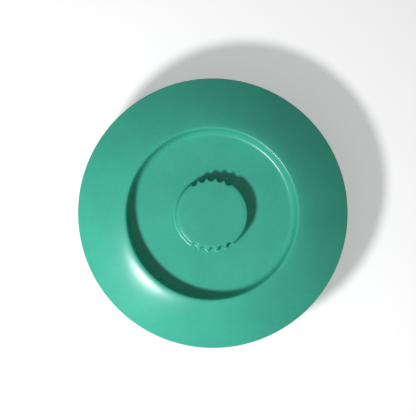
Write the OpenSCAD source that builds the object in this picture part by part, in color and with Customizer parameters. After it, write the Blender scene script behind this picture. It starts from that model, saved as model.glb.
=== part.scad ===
// Tortilla warmer: a shallow round dish and the lid that lies on its rim, both moulded in melamine.
// Millimetres, +Z up. The origin is the centre of the foot ring, at the surface the dish stands on.

/* [Base] */
// Outside diameter of the base at its rim
base_d = 195; // [180:1:215]
// Height of the base, from the table to the top of its rim
base_h = 33; // [26:0.5:60]
// Thickness of the base's wall
base_wall = 3.4; // [2.4:0.1:4.5]
// Thickness of the base's floor
base_floor = 3.2; // [2.4:0.1:4.5]
// Slope of the base's wall away from upright, in degrees
base_draft = 3.5; // [1:0.5:7]
// Outside radius of the bend where the wall turns into the floor
base_bend = 9; // [5:0.5:12]
// Rounding of the rim's outer edge
rim_round = 1.2; // [0.5:0.1:1.5]

/* [Foot ring] */
// Distance from the side of the base in to the middle of the foot ring
foot_inset = 20; // [15:0.5:40]
// Width of the foot ring where it stands on the table
foot_w = 3; // [2:0.5:5]
// How far the foot ring holds the floor off the table
foot_h = 1.8; // [1:0.1:3]
// Slope of the foot ring's sides away from upright, in degrees
foot_draft = 25; // [5:1:35]
// Rounding of the foot ring's edges
foot_round = 0.5; // [0.2:0.1:0.8]

/* [Lid] */
// How far the lid reaches past the base, all round
lid_overhang = 1; // [0:0.25:3]
// Thickness of the lid's moulding
lid_wall = 3; // [2.4:0.1:3.6]
// Height of the upright edge round the lid
edge_h = 2.6; // [2.5:0.1:4.5]
// Rounding of that edge, above and below
edge_round = 1.1; // [0.5:0.1:1.2]
// Diameter of the crest, the highest ring of the lid
crest_d = 126.5; // [116:0.5:136]
// Height of the crest above the top of the lid's edge
crest_rise = 15.5; // [12.5:0.5:20]
// Rounding of the crest
crest_round = 1.8; // [1.5:0.1:3]
// Rounding under the crest
crest_under_round = 1; // [0.5:0.25:2]
// Slope of the domed rim just outside the crest, in degrees
dome_slope = 7; // [6:0.5:14]
// Where the domed rim bends most, as a share of its width outwards from the crest
dome_bend = 0.26; // [0.2:0.01:0.5]

/* [Well in the lid] */
// Depth of the well, from the crest to its floor
well_depth = 12.2; // [10:0.1:12.5]
// Slope of the well's wall away from upright, in degrees
well_draft = 9; // [3:0.5:12]
// Radius of the cove between the well's wall and its floor
well_cove = 4.2; // [1:0.2:5]

/* [Knob] */
// Diameter of the knob at the edge of its top
knob_d = 51.2; // [44:0.2:60]
// Height of the knob above the floor of the well
knob_h = 10.2; // [8:0.2:14]
// Slope of the knob's side away from upright, in degrees
knob_draft = 7.5; // [3:0.5:12]
// Rounding of the knob's top edge
knob_edge = 1; // [0.4:0.1:1.3]
// Distance from the knob's edge in to the crease of its soft shoulder
shoulder_w = 2.6; // [2.2:0.1:3.4]
// How far the shoulder falls from the flat of the knob to its edge
shoulder_drop = 0.25; // [0.1:0.05:0.5]
// Radius that blends the shoulder into the flat
shoulder_blend = 7; // [2:0.5:7]
// Radius of the cove at the knob's foot
knob_cove = 2; // [1:0.25:3]
// Thickness of the knob's side, before its flutes are cut
knob_wall = 4; // [3.5:0.1:6]
// Rounding inside the hollow of the knob, under its top
hollow_round = 2.5; // [0.5:0.5:4]
// Rounding of the hollow's mouth
mouth_round = 2; // [0.5:0.5:3]

/* [Flutes] */
// Number of finger flutes on each of the knob's two sides
flute_count = 5; // [2:1:6]
// Angle from one flute to the next, in degrees
flute_pitch = 14.4; // [14:0.2:18]
// Radius of a flute
flute_r = 2.7; // [2:0.1:3.4]
// How deep a flute cuts into the knob's side
flute_depth = 1.9; // [0.8:0.1:1.9]
// Height above the floor of the well at which the flutes start
flute_foot = 0.5; // [0.2:0.1:2]

/* [Seat of the lid] */
// How far the locating ring under the lid reaches into the base
ring_h = 3; // [2:0.25:5]
// Thickness of the locating ring
ring_w = 2.8; // [2:0.1:4]
// Rounding of the locating ring's tip
ring_round = 0.8; // [0.4:0.1:0.9]
// Rounding behind the locating ring, where it meets the dome
ring_root = 2; // [0.5:0.25:2.5]
// Clearance all round between the locating ring and the base's wall
ring_gap = 0.8; // [0.4:0.1:2]

/* [Hidden] */

base_color = "#1b9a81";
lid_color = "#22a68c";

chord_error = 0.02;   // how far a straight step may cut inside its arc
least_steps = 3;      // fewest straight steps in an arc
dome_steps = 10;      // straight steps across the domed rim
overcut = 1;          // how far a cutter runs past what it cuts
$fn = 120;

// Base
base_r = base_d / 2;
rim_in_r = base_r - base_wall / cos(base_draft);
floor_top = foot_h + base_floor;
base_foot_r = base_r - (base_h - foot_h) * tan(base_draft);
dish_foot_r = rim_in_r - (base_h - floor_top) * tan(base_draft);
foot_mid = base_r - foot_inset;
foot_flare = foot_h * tan(foot_draft);

// Locating ring, at its root and at its tip
ring_r = rim_in_r - ring_gap;
ring_tip_z = base_h - ring_h;
ring_tip_r = ring_r - ring_h * tan(base_draft);
ring_in_r = ring_tip_r - ring_w;

// Lid: its edge, its crest and the dome between them
lid_r = base_r + lid_overhang;
edge_z = base_h + edge_h;
crest_z = edge_z + crest_rise;
crest_mid = [crest_d / 2, crest_z - crest_round];
dome_in = crest_mid + crest_round * ray(90 - dome_slope);
dome_w = lid_r - dome_in.x;
bend_w = dome_bend * dome_w;
bend_z = dome_in.y - bend_w * tan(dome_slope);

// Well
well_z = crest_z - well_depth;
well_under_z = well_z - lid_wall;
well_top = crest_mid + crest_round * ray(180 - well_draft);
well_r = well_top.x - (well_top.y - well_z) * tan(well_draft);
well_back_r = well_r + lid_wall / cos(well_draft) - lid_wall * tan(well_draft);
crest_back_r = well_back_r + well_depth * tan(well_draft);

// Knob and the hollow under it
knob_r = knob_d / 2;
knob_z = well_z + knob_h;
knob_edge_z = knob_z - shoulder_drop;
knob_foot_r = knob_r + (knob_edge_z - well_z) * tan(knob_draft);
roof_z = knob_z - lid_wall;
hollow_foot_r = knob_foot_r + lid_wall * tan(knob_draft) - knob_wall / cos(knob_draft);
hollow_top_r = hollow_foot_r - (roof_z - well_under_z) * tan(knob_draft);
flute_mid = knob_foot_r + flute_r - flute_depth;
flute_len = (knob_h + 2 * overcut) / cos(knob_draft);

// Direction at an angle
function ray(a) = [cos(a), sin(a)];

// Straight steps that an arc of radius r needs for a sweep in degrees
function steps(r, sweep) = max(least_steps, ceil(abs(sweep) / (2 * acos(1 - chord_error / r))));

// Points of an arc about a centre, from one angle to another
function arc(centre, r, from, to) =
    let (n = steps(r, to - from))
    [for (k = [0:n]) centre + r * ray(from + (to - from) * k / n)];

// Points of the rounding of radius r at corner b of the line a-b-c
function rounding(a, b, c, r) =
    let (
        u = (a - b) / norm(a - b),
        w = (c - b) / norm(c - b),
        half = acos(u * w) / 2,
        centre = b + (u + w) / norm(u + w) * r / sin(half),
        start = b + u * r / tan(half) - centre,
        from = atan2(start.y, start.x),
        way = u.x * w.y - u.y * w.x > 0 ? -1 : 1
    )
    arc(centre, r, from, from + way * (180 - 2 * half));

// Closed outline through corners given as [radius, height, rounding]
function outline(p) = [
    for (k = [0:len(p) - 1])
        let (
            a = p[(k + len(p) - 1) % len(p)],
            b = p[k],
            c = p[(k + 1) % len(p)]
        )
        each b[2] > 0
            ? rounding([a.x, a.y], [b.x, b.y], [c.x, c.y], b[2])
            : [[b.x, b.y]]
];

// Points of a curve as corners without a rounding
function plain(points) = [for (p = points) [p.x, p.y, 0]];

// Share of the way along the dome's curve at radius r
function dome_share(r) =
    let (out = r - dome_in.x)
    out / (bend_w + sqrt(bend_w * bend_w + (dome_w - 2 * bend_w) * out));

// Height of the dome's outer face at radius r, on a curve from the crest by the bend to the edge
function dome_z(r) =
    let (t = dome_share(r))
    pow(1 - t, 2) * dome_in.y + 2 * t * (1 - t) * bend_z + t * t * edge_z;

// Slope of the dome at radius r, in degrees
function dome_angle(r) =
    let (t = dome_share(r))
    atan2(
        (1 - t) * (dome_in.y - bend_z) + t * (bend_z - edge_z),
        (1 - t) * bend_w + t * (dome_w - bend_w)
    );

// Height of the dome's inner face at radius r
function dome_under_z(r) = dome_z(r) - lid_wall / cos(dome_angle(r));

// Dish with an upright wall, a rounded rim and a foot ring, turned in one piece
module base() {
    color(base_color)
    rotate_extrude()
    polygon(outline([
        [0, floor_top, 0],
        [dish_foot_r, floor_top, base_bend - base_wall],
        [rim_in_r, base_h, rim_round / 2],
        [base_r, base_h, rim_round],
        [base_foot_r, foot_h, base_bend],
        [foot_mid + foot_w / 2 + foot_flare, foot_h, foot_round],
        [foot_mid + foot_w / 2, 0, foot_round],
        [foot_mid - foot_w / 2, 0, foot_round],
        [foot_mid - foot_w / 2 - foot_flare, foot_h, foot_round],
        [0, foot_h, 0]
    ]));
}

// Section of the lid: over the knob, the well and the dome, and back underneath
module lid_section() {
    crest = plain(arc(crest_mid, crest_round, 180 - well_draft, 90 - dome_slope));
    dome = [
        for (k = [1:dome_steps - 1])
            let (r = dome_in.x + dome_w * k / dome_steps)
            [r, dome_z(r), 0]
    ];
    dome_back = [
        for (k = [1:dome_steps - 1])
            let (r = ring_in_r + (crest_back_r - ring_in_r) * k / dome_steps)
            [r, dome_under_z(r), 0]
    ];
    polygon(outline(concat(
        [
            [0, knob_z, 0],
            [knob_r - shoulder_w, knob_z, shoulder_blend],
            [knob_r, knob_edge_z, knob_edge],
            [knob_foot_r, well_z, knob_cove],
            [well_r, well_z, well_cove]
        ],
        crest,
        dome,
        [
            [lid_r, edge_z, edge_round],
            [lid_r, base_h, edge_round],
            [ring_r, base_h, 0],
            [ring_tip_r, ring_tip_z, ring_round],
            [ring_in_r, ring_tip_z, ring_round],
            [ring_in_r, dome_under_z(ring_in_r), ring_root]
        ],
        dome_back,
        [
            [crest_back_r, dome_under_z(crest_back_r), crest_under_round],
            [well_back_r, well_under_z, well_cove + lid_wall],
            [hollow_foot_r, well_under_z, mouth_round],
            [hollow_top_r, roof_z, hollow_round],
            [0, roof_z, 0]
        ]
    )));
}

// Cutters for one side's row of flutes, leaning in with the knob's side
module flutes() {
    for (k = [0:flute_count - 1])
        rotate(90 + (k - (flute_count - 1) / 2) * flute_pitch)
        translate([flute_mid, 0, well_z])
        rotate([0, -knob_draft, 0])
        translate([0, 0, -overcut])
        cylinder(r = flute_r, h = flute_len);
}

// Lid in one turned piece, with finger flutes cut in two opposite sides of its knob
module lid() {
    color(lid_color)
    difference() {
        rotate_extrude()
        lid_section();
        intersection() {
            union() {
                flutes();
                rotate(180)
                flutes();
            }
            translate([0, 0, well_z + flute_foot])
            cylinder(r = flute_mid + flute_r, h = knob_h + overcut);
        }
    }
}

base();
lid();
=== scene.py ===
"""Tortilla warmer in glossy moulded melamine: a shallow dish, and a domed lid with a sunken well
and a fluted knob. Both mouldings are turned from their section by one Geometry Nodes tree."""

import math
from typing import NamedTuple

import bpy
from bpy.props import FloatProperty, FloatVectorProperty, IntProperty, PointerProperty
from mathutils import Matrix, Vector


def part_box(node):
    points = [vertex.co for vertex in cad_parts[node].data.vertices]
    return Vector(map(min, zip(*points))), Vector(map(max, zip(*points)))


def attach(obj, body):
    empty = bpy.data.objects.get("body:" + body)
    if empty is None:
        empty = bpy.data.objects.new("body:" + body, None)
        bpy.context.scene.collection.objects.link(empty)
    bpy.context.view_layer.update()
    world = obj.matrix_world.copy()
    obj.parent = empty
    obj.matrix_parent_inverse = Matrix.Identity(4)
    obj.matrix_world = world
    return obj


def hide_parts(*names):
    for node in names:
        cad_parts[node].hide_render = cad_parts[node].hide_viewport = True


bl_info = {
    "name": "Tortilla Warmer",
    "version": (1, 0, 0),
    "blender": (4, 5, 0),
    "location": "View3D > Sidebar > Warmer",
    "description": "Makes a two-piece melamine tortilla warmer and a plain studio for it",
    "category": "Object",
}

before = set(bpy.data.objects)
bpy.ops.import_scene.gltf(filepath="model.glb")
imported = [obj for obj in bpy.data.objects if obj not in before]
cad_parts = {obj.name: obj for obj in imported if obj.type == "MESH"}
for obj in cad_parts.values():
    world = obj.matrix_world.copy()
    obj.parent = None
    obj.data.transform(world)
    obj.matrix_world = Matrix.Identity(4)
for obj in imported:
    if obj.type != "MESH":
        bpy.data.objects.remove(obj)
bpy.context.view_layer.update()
BASE_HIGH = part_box("base")[1]
LID_LOW, LID_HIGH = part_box("lid")

MM = 0.001


def length(name, description, default):
    """Property for a length, given in millimetres and held in metres."""
    return FloatProperty(
        name=name, description=description, default=default * MM, min=0.0,
        subtype="DISTANCE", unit="LENGTH", precision=5,
    )


def slope(name, description, default):
    """Property for an angle, given in degrees and held in radians."""
    return FloatProperty(
        name=name, description=description, default=math.radians(default),
        subtype="ANGLE", unit="ROTATION",
    )


def colour(name, description, default):
    """Property for a linear colour."""
    return FloatVectorProperty(
        name=name, description=description, default=default, size=3, min=0.0, max=1.0, subtype="COLOR",
    )


def share(name, description, default):
    """Property for a plain number from nought to one."""
    return FloatProperty(name=name, description=description, default=default, min=0.0, max=1.0)


class BaseShape(bpy.types.PropertyGroup):
    """Sizes of the dish"""

    radius: length("Rim radius", "Outside radius at the rim", BASE_HIGH.x / MM)
    height: length("Height", "Height of the rim above the table", BASE_HIGH.z / MM)
    wall: length("Wall", "Thickness of the wall", 3.4)
    floor: length("Floor", "Thickness of the floor", 3.2)
    draft: slope("Wall draft", "Slope of the wall away from upright", 3.5)
    bend: length("Bend", "Outside radius where the wall turns into the floor", 9.0)
    rim_round: length("Rim rounding", "Rounding of the rim's outer edge", 1.2)
    foot_inset: length("Foot inset", "From the side of the dish in to the middle of the foot ring", 20.0)
    foot_width: length("Foot width", "Width of the foot ring on the table", 3.0)
    foot_height: length("Foot height", "How far the foot ring lifts the floor", 1.8)
    foot_draft: slope("Foot draft", "Slope of the foot ring's sides away from upright", 25.0)
    foot_round: length("Foot rounding", "Rounding of the foot ring's edges", 0.5)


class LidShape(bpy.types.PropertyGroup):
    """Sizes of the lid"""

    radius: length("Edge radius", "Outside radius of the lid", LID_HIGH.x / MM)
    crest_height: length("Crest height", "Height of the crest above the table", LID_HIGH.z / MM)
    ring_tip: length("Ring tip", "Height of the locating ring's tip above the table", LID_LOW.z / MM)
    wall: length("Wall", "Thickness of the moulding", 3.0)
    edge_height: length("Edge", "Height of the upright edge", 2.6)
    edge_round: length("Edge rounding", "Rounding of the upright edge, above and below", 1.1)
    crest_radius: length("Crest radius", "Radius of the highest ring", 63.25)
    crest_round: length("Crest rounding", "Rounding of the crest", 1.8)
    crest_under_round: length("Under-crest rounding", "Rounding under the crest", 1.0)
    dome_slope: slope("Dome slope", "Slope of the dome just outside the crest", 7.0)
    dome_bend: share("Dome bend", "Where the dome bends most, as a share of its width", 0.26)
    well_depth: length("Well depth", "Depth of the well under the crest", 12.2)
    well_draft: slope("Well draft", "Slope of the well's wall away from upright", 9.0)
    well_cove: length("Well cove", "Radius between the well's wall and floor", 4.2)
    ring_width: length("Ring width", "Thickness of the locating ring", 2.8)
    ring_round: length("Ring rounding", "Rounding of the locating ring's tip", 0.8)
    ring_root: length("Ring root", "Rounding between the locating ring and the dome", 2.0)
    ring_gap: length("Ring gap", "Clearance between the locating ring and the dish", 0.8)


class KnobShape(bpy.types.PropertyGroup):
    """Sizes of the knob and its flutes"""

    radius: length("Radius", "Radius at the edge of the top", 25.6)
    height: length("Height", "Height above the floor of the well", 10.2)
    draft: slope("Draft", "Slope of the side away from upright", 7.5)
    edge_round: length("Edge rounding", "Rounding of the top edge", 1.0)
    flat_radius: length("Flat radius", "Radius of the flat inside the soft shoulder", 22.6)
    shoulder_drop: length("Shoulder drop", "Fall of the shoulder from the flat to the edge", 0.3)
    cove: length("Cove", "Radius at the foot", 2.0)
    wall: length("Wall", "Thickness of the side before the flutes", 4.0)
    hollow_round: length("Hollow rounding", "Rounding inside the hollow, under the top", 2.5)
    mouth_round: length("Mouth rounding", "Rounding of the hollow's mouth", 2.0)
    flutes: IntProperty(name="Flutes", description="Flutes on each of two sides", default=5, min=0, max=6)
    flute_pitch: slope("Flute pitch", "Angle from one flute to the next", 14.4)
    flute_radius: length("Flute radius", "Radius of a flute", 2.7)
    flute_depth: length("Flute depth", "How deep a flute cuts into the side", 1.9)
    ridge_round: length("Ridge rounding", "Softness of the ridges between flutes", 0.45)


class MelamineLook(bpy.types.PropertyGroup):
    """Colours and finish of the melamine"""

    lid_colour: colour("Lid", "Colour of the lid", (0.049, 0.41, 0.29))
    base_colour: colour("Base", "Colour of the dish", (0.047, 0.40, 0.28))
    mottle: share("Mottle", "How much the colour varies from place to place", 0.11)
    specks: share("Specks", "Strength of the fine dark specks in the moulding", 0.3)
    gloss_roughness: share("Roughness", "Roughness where the moulding is untouched", 0.276)
    scuffs: share("Scuffs", "Strength of the fine wiping scratches", 0.35)
    rubbing: share("Rubbing", "Strength of the wear where pieces and table touch", 0.6)


class StudioLook(bpy.types.PropertyGroup):
    """Camera, lamp, even light, backdrop and floor"""

    floor_colour: colour("Floor", "Colour of the floor", (0.82, 0.82, 0.82))
    floor_lift: share("Floor lift", "White added to the floor where it is seen directly", 0.35)
    camera_distance: length("Camera distance", "From the camera to the crest of the lid", 1300.0)
    camera_lean: slope("Camera lean", "How far the camera leans from straight above", 2.5)
    camera_lean_way: slope("Lean direction", "Which way it leans, from +X", 40.0)
    camera_roll: slope("Camera roll", "Turn of the lid in the picture", 1.2)
    key_power: FloatProperty(
        name="Key power", description="Power of the key lamp", default=3.9, min=0.0, unit="POWER",
    )
    key_width: length("Key width", "Width of the key lamp", 138.0)
    key_tall: length("Key depth", "The key lamp from its lower to its upper edge", 90.0)
    key_distance: length("Key distance", "From the key lamp to the lid", 620.0)
    key_height: slope("Key height", "Angle of the key lamp above the table", 47.0)
    key_way: slope("Key direction", "Direction of the key lamp, from +X", 222.0)
    ambient: share("Ambient", "Strength of the even light from above", 0.26)
    ambient_from: share("Ambient from", "Height of a direction, as a sine, where it begins", 0.05)
    ambient_full: share("Ambient full", "Height of a direction, as a sine, where it is full", 0.65)
    backdrop: share("Backdrop", "White of the background, where it is seen directly", 0.9)
    backdrop_foot: share("Backdrop foot", "White of the background at the horizon", 0.56)
    backdrop_top: share("Backdrop top", "Height of a direction, as a sine, where it ends", 0.3)


# ---------------------------------------------------------------------------------------------
# Sections: the outline of each moulding, from the axis above round to the axis below
# ---------------------------------------------------------------------------------------------

# Greatest turn from one station of a rounding to the next
ARC_STEP = math.radians(8.0)
FEWEST_ARC_STEPS = 3
# Distance from a rounding to the first station of the stretch beside it
HOLD = 0.25 * MM
# Greatest distance between the stations of a stretch
LONGEST_STEP = 4.5 * MM


class Corner(NamedTuple):
    """A corner of a section. edge is how much its rounding shows wear, and rub is how much the
    straight stretch after it has been rubbed by what it touches."""

    r: float
    z: float
    rounding: float = 0.0
    edge: float = 0.0
    rub: float = 0.0


class Station(NamedTuple):
    """A finished point of a section."""

    r: float
    z: float
    edge: float
    rub: float


def rounded(before, here, after):
    """Stations of a corner: itself, or the arc that rounds it."""
    if not here.rounding:
        return [Station(here.r, here.z, here.edge, here.rub)]
    point = Vector((here.r, here.z))
    back = (Vector((before.r, before.z)) - point).normalized()
    ahead = (Vector((after.r, after.z)) - point).normalized()
    half = back.angle(ahead) / 2
    centre = point + (back + ahead).normalized() * here.rounding / math.sin(half)
    start = point + back * here.rounding / math.tan(half) - centre
    sweep = (math.pi - 2 * half) * (-1 if back.cross(ahead) > 0 else 1)
    steps = max(FEWEST_ARC_STEPS, math.ceil(abs(sweep) / ARC_STEP))
    arc = []
    for k in range(steps + 1):
        turn = sweep * k / steps
        x = start.x * math.cos(turn) - start.y * math.sin(turn)
        z = start.x * math.sin(turn) + start.y * math.cos(turn)
        wear = here.edge * math.sin(math.pi * k / steps)
        arc.append(Station(centre.x + x, centre.y + z, wear, here.rub if k == steps else 0.0))
    return arc


def stretch(a, b):
    """Stations strictly between two others, close to both ends so that roundings shade cleanly."""
    reach = math.hypot(b.r - a.r, b.z - a.z)
    if reach < 4 * HOLD:
        return []
    inner = max(1, math.ceil((reach - 2 * HOLD) / LONGEST_STEP))
    places = [HOLD + (reach - 2 * HOLD) * k / inner for k in range(inner + 1)]
    return [
        Station(a.r + (b.r - a.r) * d / reach, a.z + (b.z - a.z) * d / reach, 0.0, a.rub)
        for d in places
    ]


def section(corners):
    """Stations of a whole section from its corners."""
    turned = []
    for k, here in enumerate(corners):
        before = corners[max(k - 1, 0)]
        after = corners[min(k + 1, len(corners) - 1)]
        turned.append(rounded(before, here, after))
    stations = []
    for arc, following in zip(turned, turned[1:] + [None]):
        stations += arc
        if following:
            stations += stretch(arc[-1], following[0])
    return stations


def base_section(s):
    """Section of the dish, from the middle of its floor over the rim to the foot ring."""
    floor_top = s.foot_height + s.floor
    rim_in = s.radius - s.wall / math.cos(s.draft)
    lean = math.tan(s.draft)
    foot = s.radius - s.foot_inset
    flare = s.foot_height * math.tan(s.foot_draft)
    half = s.foot_width / 2
    return section([
        Corner(0.0, floor_top),
        Corner(rim_in - (s.height - floor_top) * lean, floor_top, s.bend - s.wall),
        Corner(rim_in, s.height, s.rim_round / 2, edge=0.6, rub=1.0),
        Corner(s.radius, s.height, s.rim_round, edge=1.0),
        Corner(s.radius - (s.height - s.foot_height) * lean, s.foot_height, s.bend, edge=0.15),
        Corner(foot + half + flare, s.foot_height, s.foot_round),
        Corner(foot + half, 0.0, s.foot_round, edge=1.0, rub=1.0),
        Corner(foot - half, 0.0, s.foot_round, edge=1.0),
        Corner(foot - half - flare, s.foot_height, s.foot_round),
        Corner(0.0, s.foot_height),
    ])


def on_curve(start, bend, end, r):
    """Height and fall at radius r of the parabola from start to end whose tangents meet at bend."""
    run, reach, out = bend.x - start.x, end.x - start.x, r - start.x
    t = out / (run + math.sqrt(run * run + (reach - 2 * run) * out))
    height = (1 - t) ** 2 * start.y + 2 * t * (1 - t) * bend.y + t * t * end.y
    fall = (1 - t) * (start.y - bend.y) + t * (bend.y - end.y)
    return height, fall / ((1 - t) * run + t * (reach - run))


DOME_STEPS = 42
DOME_BACK_STEPS = 26
SHOULDER_STEPS = 9
# Softness of the crease round the knob's flat, as a share of the shoulder's width
CREASE = 0.16
# How much the crest shows wear at its top
CREST_WEAR = 0.4


def shoulder_fall(k, r):
    """How far the knob's shoulder lies under its flat at radius r, with a soft crease between."""
    out = max(0.0, r - k.flat_radius) / (k.radius - k.flat_radius)
    return k.shoulder_drop * (math.hypot(out, CREASE) - CREASE) / (math.hypot(1.0, CREASE) - CREASE)


def lid_section(s, k, seat):
    """Section of the lid, from the middle of the knob over the well and the dome to its edge, and
    back underneath. seat is the base, which the lid rests on."""
    tip_lean = math.tan(seat.draft)
    ring_r = seat.radius - seat.wall / math.cos(seat.draft) - s.ring_gap
    ring_tip_r = ring_r - (seat.height - s.ring_tip) * tip_lean
    ring_in = ring_tip_r - s.ring_width
    well_z = s.crest_height - s.well_depth
    under_z = well_z - s.wall

    crest = Vector((s.crest_radius, s.crest_height - s.crest_round))
    edge = Vector((s.radius, seat.height + s.edge_height))
    dome_in = crest + s.crest_round * Vector((math.sin(s.dome_slope), math.cos(s.dome_slope)))
    dome_width = edge.x - dome_in.x
    run = s.dome_bend * dome_width
    bend = dome_in + Vector((run, -run * math.tan(s.dome_slope)))

    def dome(r, inset=0.0):
        """Height of the dome at radius r, or of its inner face."""
        height, fall = on_curve(dome_in, bend, edge, r)
        return height - inset * math.hypot(1, fall)

    lean = math.tan(s.well_draft)
    wall_top = crest + s.crest_round * Vector((-math.cos(s.well_draft), math.sin(s.well_draft)))
    well_r = wall_top.x - (wall_top.y - well_z) * lean
    back_r = well_r + s.wall / math.cos(s.well_draft) - s.wall * lean
    crest_back = back_r + s.well_depth * lean

    knob_z = well_z + k.height
    knob_lean = math.tan(k.draft)
    knob_foot = k.radius + (k.height - k.shoulder_drop) * knob_lean
    hollow_foot = knob_foot + s.wall * knob_lean - k.wall / math.cos(k.draft)
    roof_z = knob_z - s.wall

    shoulder = []
    for n in range(SHOULDER_STEPS):
        r = k.flat_radius + (k.radius - k.edge_round - k.flat_radius) * n / (SHOULDER_STEPS - 1)
        shoulder.append(Corner(r, knob_z - shoulder_fall(k, r)))
    crest_sweep = math.pi / 2 - s.well_draft + s.dome_slope
    crest_steps = math.ceil(crest_sweep / ARC_STEP)
    crest_arc = []
    for n in range(crest_steps + 1):
        turn = math.pi - s.well_draft - crest_sweep * n / crest_steps
        place = crest + s.crest_round * Vector((math.cos(turn), math.sin(turn)))
        wear = CREST_WEAR * math.sin(math.pi * n / crest_steps)
        crest_arc.append(Corner(place.x, place.y, edge=wear))
    dome_arc = []
    for n in range(1, DOME_STEPS):
        r = dome_in.x + dome_width * n / DOME_STEPS
        dome_arc.append(Corner(r, dome(r)))
    dome_back = []
    for n in range(1, DOME_BACK_STEPS):
        r = ring_in + (crest_back - ring_in) * n / DOME_BACK_STEPS
        dome_back.append(Corner(r, dome(r, s.wall)))
    return section([
        Corner(0.0, knob_z),
        *shoulder,
        Corner(k.radius, knob_z - k.shoulder_drop, k.edge_round, edge=0.8),
        Corner(knob_foot, well_z, k.cove),
        Corner(well_r, well_z, s.well_cove),
        *crest_arc,
        *dome_arc,
        Corner(edge.x, edge.y, s.edge_round, edge=1.0),
        Corner(edge.x, seat.height, s.edge_round, edge=1.0, rub=0.8),
        Corner(ring_r, seat.height),
        Corner(ring_tip_r, s.ring_tip, s.ring_round, edge=0.7, rub=0.3),
        Corner(ring_in, s.ring_tip, s.ring_round, edge=0.7),
        Corner(ring_in, dome(ring_in, s.wall), s.ring_root),
        *dome_back,
        Corner(crest_back, dome(crest_back, s.wall), s.crest_under_round),
        Corner(back_r, under_z, s.well_cove + s.wall, edge=0.3),
        Corner(hollow_foot, under_z, k.mouth_round, edge=0.4),
        Corner(hollow_foot - (roof_z - under_z) * knob_lean, roof_z, k.hollow_round),
        Corner(0.0, roof_z),
    ])


# Where a flute's pull on the knob's top begins, and where its pull on the well's floor ends
SLIDE_FROM = 17.0 * MM
SLIDE_TO = 36.0 * MM


class Weight(NamedTuple):
    """How far a station follows a flute inwards, and how much of the shoulder's fall it is spared."""

    slide: float
    lift: float


UNFLUTED = Weight(0.0, 0.0)


def smooth(value):
    """Soft step from nought to one."""
    t = min(1.0, max(0.0, value))
    return t * t * (3 - 2 * t)


def flute_weights(stations, knob, foot_z, foot_r):
    """Weight of each station. Only the knob's top and side and the floor next to it take part."""
    weights = []
    edge_z = foot_z + knob.height - knob.shoulder_drop
    cove_end = foot_r + knob.cove
    above = True
    for s in stations:
        above = above and s.r < SLIDE_TO
        if not above:
            weights.append(UNFLUTED)
        elif s.r > cove_end and s.z < foot_z + knob.cove / 2:
            weights.append(Weight(1 - smooth((s.r - cove_end) / (SLIDE_TO - cove_end)), 0.0))
        else:
            lift = min(1.0, max(0.0, (s.z - foot_z) / (edge_z - foot_z)))
            weights.append(Weight(smooth((s.r - SLIDE_FROM) / (knob.flat_radius - SLIDE_FROM)), lift))
    return weights


# ---------------------------------------------------------------------------------------------
# Node helpers
# ---------------------------------------------------------------------------------------------

# Layout of the nodes in the editor
NODES_A_COLUMN = 6
COLUMN_WIDTH = 200
ROW_HEIGHT = 220


def add(tree, kind, **settings):
    """New node in a tree, with its settings."""
    node = tree.nodes.new(kind)
    column, row = divmod(len(tree.nodes), NODES_A_COLUMN)
    node.location = (column * COLUMN_WIDTH, -row * ROW_HEIGHT)
    for name, value in settings.items():
        setattr(node, name, value)
    return node


def feed(tree, socket, value):
    """Link an output to a socket, or set the socket to a plain value."""
    if isinstance(value, bpy.types.NodeSocket):
        tree.links.new(value, socket)
    else:
        socket.default_value = value


def fill(tree, node, **inputs):
    """Feed a node's inputs by name, with underscores for spaces."""
    for name, value in inputs.items():
        feed(tree, node.inputs[name.replace("_", " ")], value)
    return node


def calc(tree, operation, *terms):
    """Result of a math node on outputs and numbers."""
    node = add(tree, "ShaderNodeMath", operation=operation)
    for socket, term in zip(node.inputs, terms):
        feed(tree, socket, term)
    return node.outputs[0]


# ---------------------------------------------------------------------------------------------
# The turning tree
# ---------------------------------------------------------------------------------------------

# Columns round half the dish, along one plain stretch of the lid, and along one flute
BASE_STEPS = 110
LID_PLAIN_STEPS = 44
STEPS_A_FLUTE = 22

# How closely the columns crowd towards the ridges, from nought for evenly to one
RIDGE_CROWDING = 0.72
# Points nearer than this are one point: the seam, and both poles
WELD = 0.001 * MM

TURN_INPUTS = (
    ("Plain Steps", "NodeSocketInt"),
    ("Steps per Flute", "NodeSocketInt"),
    ("Flutes", "NodeSocketInt"),
    ("Flute Pitch", "NodeSocketFloat"),
    ("Flute Radius", "NodeSocketFloat"),
    ("Flute Depth", "NodeSocketFloat"),
    ("Ridge Rounding", "NodeSocketFloat"),
    ("Foot Radius", "NodeSocketFloat"),
    ("Foot Height", "NodeSocketFloat"),
    ("Side Lean", "NodeSocketFloat"),
    ("Top Radius", "NodeSocketFloat"),
    ("Flat Radius", "NodeSocketFloat"),
    ("Shoulder Drop", "NodeSocketFloat"),
    ("Material", "NodeSocketMaterial"),
)


def sampled(tree, kind, profile, value, row):
    """Value of the section's station for this row of the turned sheet."""
    node = add(tree, "GeometryNodeSampleIndex", data_type=kind)
    feed(tree, node.inputs["Geometry"], profile)
    feed(tree, node.inputs["Value"], value)
    feed(tree, node.inputs["Index"], row)
    return node.outputs["Value"]


def named(tree, name):
    """A number stored on the section's stations."""
    node = add(tree, "GeometryNodeInputNamedAttribute", data_type="FLOAT")
    node.inputs["Name"].default_value = name
    return node.outputs["Attribute"]


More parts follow.
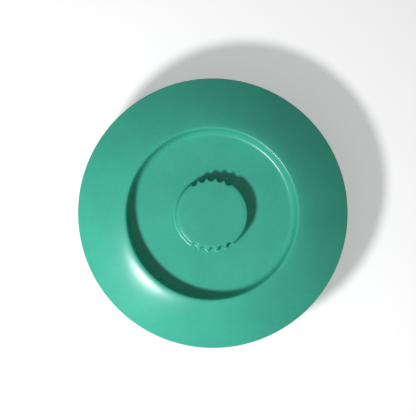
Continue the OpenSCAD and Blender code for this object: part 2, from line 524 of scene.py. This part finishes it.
def turn_angle(tree, given, column, half_steps):
    """Angle of a column, crowded towards the ridges, and its place among the flutes."""
    half = calc(tree, "FLOOR", calc(tree, "DIVIDE", column, half_steps))
    step = calc(tree, "SUBTRACT", column, calc(tree, "MULTIPLY", half, half_steps))
    fluted = calc(tree, "MULTIPLY", given["Flutes"], given["Flute Pitch"])
    plain = calc(tree, "SUBTRACT", math.pi, fluted)
    plain_steps = given["Plain Steps"]
    plain_part = calc(tree, "DIVIDE", calc(tree, "MINIMUM", step, plain_steps), plain_steps)
    past = calc(tree, "MAXIMUM", calc(tree, "SUBTRACT", step, plain_steps), 0.0)
    flute = calc(tree, "DIVIDE", past, given["Steps per Flute"])
    wave = calc(tree, "SINE", calc(tree, "MULTIPLY", flute, 2 * math.pi))
    crowded = calc(tree, "SUBTRACT", flute, calc(tree, "MULTIPLY", wave, RIDGE_CROWDING / (2 * math.pi)))
    angle = calc(tree, "MULTIPLY", half, math.pi)
    angle = calc(tree, "ADD", angle, calc(tree, "MULTIPLY", plain, calc(tree, "SUBTRACT", plain_part, 0.5)))
    angle = calc(tree, "ADD", angle, calc(tree, "MULTIPLY", crowded, given["Flute Pitch"]))
    from_middle = calc(tree, "ABSOLUTE", calc(tree, "SUBTRACT", calc(tree, "FRACT", crowded), 0.5))
    return angle, calc(tree, "MULTIPLY", from_middle, given["Flute Pitch"])


def flute_cut(tree, given, off, z):
    """How deep the flutes cut the side at this angle and height, with its ridges softened."""
    rise = calc(tree, "MULTIPLY", calc(tree, "SUBTRACT", z, given["Foot Height"]), given["Side Lean"])
    wall = calc(tree, "SUBTRACT", given["Foot Radius"], rise)
    middle = calc(tree, "SUBTRACT", calc(tree, "ADD", wall, given["Flute Radius"]), given["Flute Depth"])
    aside = calc(tree, "MULTIPLY", middle, calc(tree, "SINE", off))
    outward = calc(tree, "SUBTRACT", given["Flute Radius"], given["Flute Depth"])
    square = calc(tree, "POWER", given["Flute Radius"], 2.0)
    mouth = calc(tree, "SQRT", calc(tree, "SUBTRACT", square, calc(tree, "POWER", outward, 2.0)))
    within = calc(tree, "POWER", calc(tree, "MINIMUM", aside, mouth), 2.0)
    half_chord = calc(tree, "SQRT", calc(tree, "SUBTRACT", square, within))
    reach = calc(tree, "SUBTRACT", calc(tree, "MULTIPLY", middle, calc(tree, "COSINE", off)), half_chord)
    # Past its mouth the cut runs on along its tangent, below nought
    past = calc(tree, "MAXIMUM", calc(tree, "SUBTRACT", aside, mouth), 0.0)
    steep = calc(tree, "DIVIDE", mouth, outward)
    gap = calc(tree, "SUBTRACT", calc(tree, "SUBTRACT", wall, reach), calc(tree, "MULTIPLY", past, steep))
    # A soft maximum of the cut and nought rounds the ridges
    near = calc(
        tree, "MAXIMUM", calc(tree, "SUBTRACT", given["Ridge Rounding"], calc(tree, "ABSOLUTE", gap)), 0.0
    )
    soft = calc(
        tree, "DIVIDE", calc(tree, "POWER", near, 2.0), calc(tree, "MULTIPLY", given["Ridge Rounding"], 4.0)
    )
    return calc(tree, "ADD", calc(tree, "MAXIMUM", gap, 0.0), soft)


def fall_at(tree, given, r):
    """How far the knob's shoulder lies under its flat at radius r, as shoulder_fall has it."""
    width = calc(tree, "SUBTRACT", given["Top Radius"], given["Flat Radius"])
    past = calc(tree, "MAXIMUM", calc(tree, "SUBTRACT", r, given["Flat Radius"]), 0.0)
    out = calc(tree, "DIVIDE", past, width)
    bent = calc(tree, "SQRT", calc(tree, "ADD", calc(tree, "POWER", out, 2.0), CREASE * CREASE))
    full = math.hypot(1.0, CREASE) - CREASE
    share_down = calc(tree, "DIVIDE", calc(tree, "SUBTRACT", bent, CREASE), full)
    return calc(tree, "MULTIPLY", given["Shoulder Drop"], share_down)


def turning_tree():
    """Geometry Nodes tree that turns a section of stations into a closed moulding, with two rows
    of flutes where the stations' slide is above nought."""
    tree = bpy.data.node_groups.get("Turned moulding")
    if tree:
        return tree
    tree = bpy.data.node_groups.new("Turned moulding", "GeometryNodeTree")
    tree.is_modifier = True
    sockets = tree.interface
    sockets.new_socket("Section", in_out="INPUT", socket_type="NodeSocketGeometry")
    for name, kind in TURN_INPUTS:
        sockets.new_socket(name, in_out="INPUT", socket_type=kind)
    sockets.new_socket("Moulding", in_out="OUTPUT", socket_type="NodeSocketGeometry")

    given = add(tree, "NodeGroupInput").outputs
    profile = given["Section"]
    size = add(tree, "GeometryNodeAttributeDomainSize", component="MESH")
    feed(tree, size.inputs["Geometry"], profile)
    rows = size.outputs["Point Count"]
    fluted_steps = calc(tree, "MULTIPLY", given["Flutes"], given["Steps per Flute"])
    half_steps = calc(tree, "ADD", given["Plain Steps"], fluted_steps)
    columns = calc(tree, "ADD", calc(tree, "MULTIPLY", half_steps, 2.0), 1.0)
    grid = add(tree, "GeometryNodeMeshGrid")
    fill(tree, grid, Vertices_X=columns, Vertices_Y=rows)

    index = add(tree, "GeometryNodeInputIndex").outputs[0]
    column = calc(tree, "FLOOR", calc(tree, "DIVIDE", calc(tree, "ADD", index, 0.5), rows))
    row = calc(tree, "SUBTRACT", index, calc(tree, "MULTIPLY", column, rows))
    place = sampled(tree, "FLOAT_VECTOR", profile, add(tree, "GeometryNodeInputPosition").outputs[0], row)
    apart = add(tree, "ShaderNodeSeparateXYZ")
    feed(tree, apart.inputs[0], place)
    r, z = apart.outputs["X"], apart.outputs["Z"]
    slide, lift, edge, rub = (
        sampled(tree, "FLOAT", profile, named(tree, name), row) for name in ("slide", "lift", "edge", "rub")
    )

    angle, off = turn_angle(tree, given, column, half_steps)
    shift = calc(tree, "MULTIPLY", flute_cut(tree, given, off, z), slide)
    cut_r = calc(tree, "SUBTRACT", r, shift)
    # A point drawn in over the shoulder rises to the height that the shoulder has there
    top_r = calc(tree, "MINIMUM", r, given["Top Radius"])
    spared = calc(
        tree, "SUBTRACT", fall_at(tree, given, top_r),
        fall_at(tree, given, calc(tree, "SUBTRACT", top_r, shift)),
    )
    cut_z = calc(tree, "ADD", z, calc(tree, "MULTIPLY", lift, spared))
    together = add(tree, "ShaderNodeCombineXYZ")
    feed(tree, together.inputs["X"], calc(tree, "MULTIPLY", cut_r, calc(tree, "COSINE", angle)))
    feed(tree, together.inputs["Y"], calc(tree, "MULTIPLY", cut_r, calc(tree, "SINE", angle)))
    feed(tree, together.inputs["Z"], cut_z)

    sheet = grid.outputs["Mesh"]
    for name, value in (("edge", edge), ("rub", rub)):
        store = add(tree, "GeometryNodeStoreNamedAttribute", data_type="FLOAT", domain="POINT")
        fill(tree, store, Geometry=sheet, Name=name, Value=value)
        sheet = store.outputs["Geometry"]
    placed = add(tree, "GeometryNodeSetPosition")
    fill(tree, placed, Geometry=sheet, Position=together.outputs[0])
    welded = add(tree, "GeometryNodeMergeByDistance")
    fill(tree, welded, Geometry=placed.outputs[0], Distance=WELD)
    smooth = add(tree, "GeometryNodeSetShadeSmooth")
    fill(tree, smooth, Geometry=welded.outputs[0])
    real = add(tree, "GeometryNodeRealizeInstances")
    fill(tree, real, Geometry=smooth.outputs[0])
    painted = add(tree, "GeometryNodeSetMaterial")
    fill(tree, painted, Geometry=real.outputs[0], Material=given["Material"])
    out = add(tree, "NodeGroupOutput")
    feed(tree, out.inputs["Moulding"], painted.outputs[0])
    return tree


def put(obj, name, values):
    """Store a number for each station of a section."""
    layer = obj.data.attributes.new(name, "FLOAT", "POINT")
    layer.data.foreach_set("value", values)


def turned(name, stations, weights, material, **inputs):
    """A closed moulding turned from its stations, as a plain mesh object."""
    mesh = bpy.data.meshes.new(name + " section")
    points = [(s.r, 0.0, s.z) for s in stations]
    mesh.from_pydata(points, [(n, n + 1) for n in range(len(points) - 1)], [])
    source = bpy.data.objects.new(name + " section", mesh)
    bpy.context.collection.objects.link(source)
    put(source, "edge", [s.edge for s in stations])
    put(source, "rub", [s.rub for s in stations])
    put(source, "slide", [w.slide for w in weights])
    put(source, "lift", [w.lift for w in weights])

    tree = turning_tree()
    modifier = source.modifiers.new("Turned", "NODES")
    modifier.node_group = tree
    keys = {item.name: item.identifier for item in tree.interface.items_tree if item.in_out == "INPUT"}
    inputs["Material"] = material
    for key, value in inputs.items():
        modifier[keys[key.replace("_", " ")]] = value
    seen = source.evaluated_get(bpy.context.evaluated_depsgraph_get())
    solid = bpy.data.meshes.new_from_object(seen)
    bpy.data.objects.remove(source)
    if not solid.polygons:
        raise RuntimeError(name + " came out empty")
    piece = bpy.data.objects.new(name, solid)
    solid.name = name
    bpy.context.collection.objects.link(piece)
    if enclosed(solid) < 0:
        solid.flip_normals()
    return piece


def enclosed(mesh):
    """Volume inside a closed mesh, below nought where its faces point inwards."""
    mesh.calc_loop_triangles()
    total = 0.0
    for triangle in mesh.loop_triangles:
        a, b, c = (mesh.vertices[v].co for v in triangle.vertices)
        total += a.dot(b.cross(c)) / 6
    return total


# ---------------------------------------------------------------------------------------------
# Melamine
# ---------------------------------------------------------------------------------------------

class Grain(NamedTuple):
    """A noise: its features a metre, its finer layers, and the strength of each beside the last."""

    scale: float
    layers: float = 2.0
    strength: float = 0.5


MELAMINE_IOR = 1.44

# Mottling: slow flow marks, the filler's grain, and how far the colour swings at full mottle
FLOW = Grain(28.0, 3.0, 0.55)
FILLER = Grain(420.0, 2.0, 0.6)
FLOW_SHARE = 0.7
MOTTLE_SWING = 4.0

# Specks: dots a metre, where they show, the edge of a dot, and a dot's brightness
SPECKS_A_METRE = 900.0
SPECKED = Grain(310.0, 0.0)
SPECKED_RANGE = (0.60, 0.66)
DOT_RANGE = (0.28, 0.16)
DOT_BRIGHTNESS = 0.45

# Scratches: one along itself, across and upwards, the direction and scale of each set, the
# noise that is stretched to that size, and where they show
SCRATCH_SIZE = Vector((70.0, 0.9, 5.0)) * MM
SCRATCH_SETS = ((0.35, 1.0), (1.45, 0.77), (2.55, 1.25))
SCRATCH = Grain(1.0, 1.0)
SCRATCH_RANGE = (0.66, 0.74)
SCRATCHED = Grain(40.0)
SCRATCHED_RANGE = (0.42, 0.68)

# Wear: its grain and patches, where it starts on an edge and on a rubbed face, the least on
# such a face, and an edge's share beside it
WEAR_GRAIN = Grain(260.0, 4.0, 0.65)
WEAR_PATCH = Grain(45.0)
EDGE_RANGE = (1.0, 1.25)
RUB_RANGE = (0.38, 0.62)
LEAST_RUB = 0.35
EDGE_SHARE = 0.6

# Worn melamine: its tint, the white in it, and how far it covers the colour
WORN_TINT = 0.75
WORN_WHITE = 0.10
WORN_COVER = 0.6

# Roughness that handling, a scratch and wear add
HANDLED = Grain(22.0, 3.0, 0.6)
HANDLED_RANGE = (0.3, 0.75)
HANDLED_ROUGHNESS = 0.03
SCRATCH_ROUGHNESS = 0.12
WORN_ROUGHNESS = 0.35

# Relief, and the shares of it that the ripple rises and a scratch and wear sink
RELIEF = 0.12 * MM
RELIEF_STRENGTH = 0.12
RIPPLE = Grain(160.0, 1.0)
RIPPLE_HEIGHT = 0.6
SCRATCH_DEPTH = 0.35
WORN_DEPTH = 0.5

# Colour sockets of a mix node, which share their names with its other kinds
MIX_FIRST, MIX_SECOND, MIX_RESULT = 6, 7, 2


def shader_group(name, inputs, output, kind):
    """An empty shader group with its sockets, its input node's outputs and its output socket."""
    tree = bpy.data.node_groups.new(name, "ShaderNodeTree")
    for text, input_kind in inputs:
        tree.interface.new_socket(text, in_out="INPUT", socket_type=input_kind)
    tree.interface.new_socket(output, in_out="OUTPUT", socket_type=kind)
    return tree, add(tree, "NodeGroupInput").outputs, add(tree, "NodeGroupOutput").inputs[output]


def noise(tree, place, grain):
    """Noise of a grain, from nought to one."""
    node = add(tree, "ShaderNodeTexNoise")
    fill(tree, node, Vector=place, Scale=grain.scale, Detail=grain.layers, Roughness=grain.strength)
    return node.outputs["Fac"]


def ramp(tree, value, low, high, to_low=0.0, to_high=1.0):
    """Value carried from one range into another, smoothly and held at its ends."""
    node = add(tree, "ShaderNodeMapRange", interpolation_type="SMOOTHSTEP")
    feed(tree, node.inputs["Value"], value)
    for text, number in (("From Min", low), ("From Max", high), ("To Min", to_low), ("To Max", to_high)):
        feed(tree, node.inputs[text], number)
    return node.outputs["Result"]


def blend(tree, amount, first, second):
    """Mix of two colours."""
    node = add(tree, "ShaderNodeMix", data_type="RGBA")
    feed(tree, node.inputs["Factor"], amount)
    feed(tree, node.inputs[MIX_FIRST], first)
    feed(tree, node.inputs[MIX_SECOND], second)
    return node.outputs[MIX_RESULT]


def brightened(tree, colour, amount):
    """A colour times a number."""
    node = add(tree, "ShaderNodeVectorMath", operation="SCALE")
    feed(tree, node.inputs[0], colour)
    feed(tree, node.inputs["Scale"], amount)
    return node.outputs[0]


def colour_group():
    """Moulded colour: slow flow mottling and fine dark specks in the resin."""
    if "Moulded colour" in bpy.data.node_groups:
        return bpy.data.node_groups["Moulded colour"]
    tree, given, out = shader_group(
        "Moulded colour",
        (
            ("Vector", "NodeSocketVector"),
            ("Colour", "NodeSocketColor"),
            ("Mottle", "NodeSocketFloat"),
            ("Specks", "NodeSocketFloat"),
        ),
        "Colour", "NodeSocketColor",
    )
    broad = calc(tree, "MULTIPLY", noise(tree, given["Vector"], FLOW), FLOW_SHARE)
    fine = calc(tree, "MULTIPLY", noise(tree, given["Vector"], FILLER), 1 - FLOW_SHARE)
    cloud = calc(tree, "SUBTRACT", calc(tree, "ADD", broad, fine), 0.5)
    swing = calc(tree, "MULTIPLY", cloud, calc(tree, "MULTIPLY", given["Mottle"], MOTTLE_SWING))
    mottled = brightened(tree, given["Colour"], calc(tree, "ADD", swing, 1.0))
    dots = add(tree, "ShaderNodeTexVoronoi", feature="F1")
    fill(tree, dots, Vector=given["Vector"], Scale=SPECKS_A_METRE)
    chosen = ramp(tree, noise(tree, given["Vector"], SPECKED), *SPECKED_RANGE)
    dot = calc(tree, "MULTIPLY", ramp(tree, dots.outputs["Distance"], *DOT_RANGE), chosen)
    dark = brightened(tree, mottled, DOT_BRIGHTNESS)
    feed(tree, out, blend(tree, calc(tree, "MULTIPLY", dot, given["Specks"]), mottled, dark))
    return tree


def scuff_group():
    """Fine wiping scratches: thin lines in three directions, broken up by slow noise."""
    if "Wiping scratches" in bpy.data.node_groups:
        return bpy.data.node_groups["Wiping scratches"]
    tree, given, out = shader_group(
        "Wiping scratches",
        (("Vector", "NodeSocketVector"), ("Amount", "NodeSocketFloat")),
        "Mask", "NodeSocketFloat",
    )
    total = None
    for turn, scale in SCRATCH_SETS:
        mapping = add(tree, "ShaderNodeMapping", vector_type="TEXTURE")
        feed(tree, mapping.inputs["Vector"], given["Vector"])
        mapping.inputs["Rotation"].default_value = (0.0, 0.0, turn)
        mapping.inputs["Scale"].default_value = SCRATCH_SIZE * scale
        line = ramp(tree, noise(tree, mapping.outputs[0], SCRATCH), *SCRATCH_RANGE)
        total = line if total is None else calc(tree, "MAXIMUM", total, line)
    patches = ramp(tree, noise(tree, given["Vector"], SCRATCHED), *SCRATCHED_RANGE)
    mask = calc(tree, "MULTIPLY", calc(tree, "MULTIPLY", total, patches), given["Amount"])
    feed(tree, out, mask)
    return tree


def rub_group():
    """Wear where the moulding is touched: its edges, and the faces that slide on a table or on
    each other, broken up by fine noise."""
    if "Rubbed places" in bpy.data.node_groups:
        return bpy.data.node_groups["Rubbed places"]
    tree, given, out = shader_group(
        "Rubbed places",
        (
            ("Vector", "NodeSocketVector"),
            ("Edge", "NodeSocketFloat"),
            ("Rub", "NodeSocketFloat"),
            ("Amount", "NodeSocketFloat"),
        ),
        "Mask", "NodeSocketFloat",
    )
    grain = noise(tree, given["Vector"], WEAR_GRAIN)
    patch = noise(tree, given["Vector"], WEAR_PATCH)
    edge = calc(tree, "MULTIPLY", given["Edge"], ramp(tree, calc(tree, "ADD", grain, patch), *EDGE_RANGE))
    rub = calc(tree, "MULTIPLY", given["Rub"], ramp(tree, grain, *RUB_RANGE, LEAST_RUB, 1.0))
    both = calc(tree, "MAXIMUM", calc(tree, "MULTIPLY", edge, EDGE_SHARE), rub)
    feed(tree, out, calc(tree, "MULTIPLY", both, given["Amount"]))
    return tree


def placed_group(tree, group, **inputs):
    """A shader group placed in a material, with its inputs."""
    node = add(tree, "ShaderNodeGroup", node_tree=group)
    return fill(tree, node, **inputs).outputs


def attribute(tree, name):
    """A number stored on the piece's own mesh."""
    return add(tree, "ShaderNodeAttribute", attribute_name=name).outputs["Fac"]


def melamine(name, tint, look):
    """Glossy moulded melamine: even colour, a hard shine with a faint ripple, and light use."""
    material = bpy.data.materials.new(name)
    material.use_nodes = True
    tree = material.node_tree
    shader = tree.nodes["Principled BSDF"]
    place = add(tree, "ShaderNodeTexCoord").outputs["Object"]

    body = placed_group(
        tree, colour_group(), Vector=place, Colour=(*tint, 1.0), Mottle=look.mottle, Specks=look.specks
    )["Colour"]
    scratches = placed_group(tree, scuff_group(), Vector=place, Amount=look.scuffs)["Mask"]
    worn = placed_group(
        tree, rub_group(), Vector=place, Edge=attribute(tree, "edge"), Rub=attribute(tree, "rub"),
        Amount=look.rubbing,
    )["Mask"]

    pale = tuple(WORN_TINT * c + WORN_WHITE for c in tint)
    cover = calc(tree, "MULTIPLY", worn, WORN_COVER)
    feed(tree, shader.inputs["Base Color"], blend(tree, cover, body, (*pale, 1.0)))

    low, high = look.gloss_roughness, look.gloss_roughness + HANDLED_ROUGHNESS
    rough = ramp(tree, noise(tree, place, HANDLED), *HANDLED_RANGE, low, high)
    rough = calc(tree, "ADD", rough, calc(tree, "MULTIPLY", scratches, SCRATCH_ROUGHNESS))
    rough = calc(tree, "ADD", rough, calc(tree, "MULTIPLY", worn, WORN_ROUGHNESS))
    feed(tree, shader.inputs["Roughness"], rough)

    height = calc(tree, "MULTIPLY", noise(tree, place, RIPPLE), RIPPLE_HEIGHT)
    height = calc(tree, "SUBTRACT", height, calc(tree, "MULTIPLY", scratches, SCRATCH_DEPTH))
    height = calc(tree, "SUBTRACT", height, calc(tree, "MULTIPLY", worn, WORN_DEPTH))
    bump = add(tree, "ShaderNodeBump")
    bump.inputs["Strength"].default_value = RELIEF_STRENGTH
    bump.inputs["Distance"].default_value = RELIEF
    feed(tree, bump.inputs["Height"], height)
    feed(tree, shader.inputs["Normal"], bump.outputs[0])

    shader.inputs["IOR"].default_value = MELAMINE_IOR
    shader.inputs["Metallic"].default_value = 0.0
    return material


# ---------------------------------------------------------------------------------------------
# Studio
# ---------------------------------------------------------------------------------------------

# Pixels along a side of the picture, a pixel's width at the crest, and the lid's centre
PICTURE_SIDE = 416
PICTURE_SCALE = 0.721 * MM
LID_CENTRE_PX = (211.8, 214.2)
# Width of the camera's sensor, in millimetres as the camera takes it
SENSOR = 36.0
FLOOR_SIZE = 8.0
FLOOR_ROUGHNESS = 0.85
FLOOR_SHINE = 0.1
WHITE = (1.0, 1.0, 1.0, 1.0)


def from_angles(way, height):
    """Unit vector with a direction from +X and a height above the table."""
    return Vector((math.cos(way) * math.cos(height), math.sin(way) * math.cos(height), math.sin(height)))


def look_along(obj, direction, up):
    """Turn a camera or a lamp so that it looks along a direction, with a given way up."""
    back = -direction.normalized()
    side = up.cross(back).normalized()
    top = back.cross(side)
    obj.rotation_mode = "QUATERNION"
    rows = ((side.x, top.x, back.x), (side.y, top.y, back.y), (side.z, top.z, back.z))
    matrix = obj.matrix_world.to_3x3()
    matrix[0], matrix[1], matrix[2] = rows
    obj.rotation_quaternion = matrix.to_quaternion()


def make_camera(studio, crest_z):
    """Camera almost straight above the lid, framed as the lid lies in the picture."""
    middle = PICTURE_SIDE / 2
    turn = studio.camera_roll
    up = Vector((math.sin(turn), math.cos(turn), 0.0))
    right = Vector((math.cos(turn), -math.sin(turn), 0.0))
    aim = Vector((0.0, 0.0, crest_z))
    aim += right * (middle - LID_CENTRE_PX[0]) * PICTURE_SCALE
    aim += up * (LID_CENTRE_PX[1] - middle) * PICTURE_SCALE
    data = bpy.data.cameras.new("Camera")
    data.sensor_width = SENSOR
    data.lens = SENSOR * studio.camera_distance / (PICTURE_SIDE * PICTURE_SCALE)
    camera = bpy.data.objects.new("Camera", data)
    away = from_angles(studio.camera_lean_way, math.pi / 2 - studio.camera_lean)
    camera.location = aim + away * studio.camera_distance
    look_along(camera, -away, up)
    bpy.context.collection.objects.link(camera)
    bpy.context.scene.camera = camera


def make_key(studio, crest_z):
    """Small soft key lamp at the lower left of the picture."""
    data = bpy.data.lights.new("Key", "AREA")
    data.shape = "ELLIPSE"
    data.size = studio.key_width
    data.size_y = studio.key_tall
    data.energy = studio.key_power
    lamp = bpy.data.objects.new("Key", data)
    away = from_angles(studio.key_way, studio.key_height)
    lamp.location = Vector((0.0, 0.0, crest_z)) + away * studio.key_distance
    look_along(lamp, -away, Vector((0.0, 0.0, 1.0)))
    bpy.context.collection.objects.link(lamp)


def seen_directly(tree):
    """One where the camera sees a thing, straight or in a gloss or through a glass, else nought."""
    path = add(tree, "ShaderNodeLightPath").outputs
    seen = calc(tree, "MAXIMUM", path["Is Camera Ray"], path["Is Glossy Ray"])
    return calc(tree, "MAXIMUM", seen, path["Is Transmission Ray"])


def make_world(studio):
    """Even light from above, fading towards the horizon, with a pale backdrop behind."""
    world = bpy.data.worlds.new("Studio")
    bpy.context.scene.world = world
    world.use_nodes = True
    tree = world.node_tree
    sky = tree.nodes["Background"]
    sky.inputs["Color"].default_value = WHITE
    # In a world, Object coordinates are the direction looked in
    apart = add(tree, "ShaderNodeSeparateXYZ")
    feed(tree, apart.inputs[0], add(tree, "ShaderNodeTexCoord").outputs["Object"])
    height = apart.outputs["Z"]
    light = ramp(tree, height, studio.ambient_from, studio.ambient_full, 0.0, studio.ambient)
    halfway = studio.backdrop_top / 2
    white = ramp(tree, height, 0.0, halfway, studio.backdrop_foot, studio.backdrop)
    pale = ramp(tree, height, halfway, studio.backdrop_top, white, 0.0)
    strength = calc(tree, "MAXIMUM", light, calc(tree, "MULTIPLY", seen_directly(tree), pale))
    feed(tree, sky.inputs["Strength"], strength)


def make_floor(studio):
    """Plain pale floor, lifted to white where it is seen directly, with the shadow kept."""
    half = FLOOR_SIZE / 2
    mesh = bpy.data.meshes.new("Floor")
    corners = [(-half, -half, 0), (half, -half, 0), (half, half, 0), (-half, half, 0)]
    mesh.from_pydata(corners, [], [(0, 1, 2, 3)])
    floor = bpy.data.objects.new("Floor", mesh)
    bpy.context.collection.objects.link(floor)
    material = bpy.data.materials.new("Floor")
    material.use_nodes = True
    tree = material.node_tree
    shader = tree.nodes["Principled BSDF"]
    shader.inputs["Base Color"].default_value = (*studio.floor_colour, 1.0)
    shader.inputs["Roughness"].default_value = FLOOR_ROUGHNESS
    shader.inputs["Specular IOR Level"].default_value = FLOOR_SHINE
    shader.inputs["Emission Color"].default_value = WHITE
    lift = calc(tree, "MULTIPLY", seen_directly(tree), studio.floor_lift)
    feed(tree, shader.inputs["Emission Strength"], lift)
    mesh.materials.append(material)


# ---------------------------------------------------------------------------------------------
# Operators and panel
# ---------------------------------------------------------------------------------------------


class WARMER_OT_studio(bpy.types.Operator):
    """Make the camera, the lamp, the even light and the pale floor"""

    bl_idname = "warmer.studio"
    bl_label = "Studio"

    def execute(self, context):
        scene = context.scene
        scene.view_settings.view_transform = "Standard"
        crest_z = scene.warmer_lid.crest_height
        make_camera(scene.warmer_studio, crest_z)
        make_key(scene.warmer_studio, crest_z)
        make_world(scene.warmer_studio)
        make_floor(scene.warmer_studio)
        return {"FINISHED"}


class WARMER_OT_base(bpy.types.Operator):
    """Turn the dish from its section and dress it in melamine"""

    bl_idname = "warmer.base"
    bl_label = "Base"

    def execute(self, context):
        scene = context.scene
        material = melamine("Base melamine", tuple(scene.warmer_look.base_colour), scene.warmer_look)
        stations = base_section(scene.warmer_base)
        piece = turned(
            "base_moulding", stations, [UNFLUTED] * len(stations), material,
            Plain_Steps=BASE_STEPS, Flutes=0,
        )
        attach(piece, "base")
        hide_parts("base")
        return {"FINISHED"}


class WARMER_OT_lid(bpy.types.Operator):
    """Turn the lid from its section, flute its knob and dress it in melamine"""

    bl_idname = "warmer.lid"
    bl_label = "Lid"

    def execute(self, context):
        scene = context.scene
        lid, knob, base = scene.warmer_lid, scene.warmer_knob, scene.warmer_base
        material = melamine("Lid melamine", tuple(scene.warmer_look.lid_colour), scene.warmer_look)
        stations = lid_section(lid, knob, base)
        foot_z = lid.crest_height - lid.well_depth
        lean = math.tan(knob.draft)
        foot_r = knob.radius + (knob.height - knob.shoulder_drop) * lean
        piece = turned(
            "lid_moulding", stations, flute_weights(stations, knob, foot_z, foot_r), material,
            Plain_Steps=LID_PLAIN_STEPS,
            Steps_per_Flute=STEPS_A_FLUTE,
            Flutes=knob.flutes,
            Flute_Pitch=knob.flute_pitch,
            Flute_Radius=knob.flute_radius,
            Flute_Depth=knob.flute_depth,
            Ridge_Rounding=knob.ridge_round,
            Foot_Radius=foot_r,
            Foot_Height=foot_z,
            Side_Lean=lean,
            Top_Radius=knob.radius,
            Flat_Radius=knob.flat_radius,
            Shoulder_Drop=knob.shoulder_drop,
        )
        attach(piece, "lid")
        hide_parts("lid")
        return {"FINISHED"}


class WARMER_PT_panel(bpy.types.Panel):
    """Sizes and looks of the warmer, with a button for each piece"""

    bl_idname = "WARMER_PT_panel"
    bl_label = "Tortilla Warmer"
    bl_space_type = "VIEW_3D"
    bl_region_type = "UI"
    bl_category = "Warmer"

    def draw(self, context):
        for group, operators in (
            ("warmer_studio", ("warmer.studio",)),
            ("warmer_base", ("warmer.base",)),
            ("warmer_lid", ()),
            ("warmer_knob", ("warmer.lid",)),
            ("warmer_look", ()),
        ):
            box = self.layout.box()
            values = getattr(context.scene, group)
            for name in values.__annotations__:
                box.prop(values, name)
            for operator in operators:
                box.operator(operator)


GROUPS = {
    "warmer_base": BaseShape,
    "warmer_lid": LidShape,
    "warmer_knob": KnobShape,
    "warmer_look": MelamineLook,
    "warmer_studio": StudioLook,
}
CLASSES = (*GROUPS.values(), WARMER_OT_studio, WARMER_OT_base, WARMER_OT_lid, WARMER_PT_panel)


def register():
    for cls in CLASSES:
        bpy.utils.register_class(cls)
    for name, cls in GROUPS.items():
        setattr(bpy.types.Scene, name, PointerProperty(type=cls))


def unregister():
    for name in GROUPS:
        delattr(bpy.types.Scene, name)
    for cls in reversed(CLASSES):
        bpy.utils.unregister_class(cls)


def main():
    register()
    bpy.ops.warmer.studio()
    bpy.ops.warmer.base()
    bpy.ops.warmer.lid()


if __name__ == "__main__":
    main()
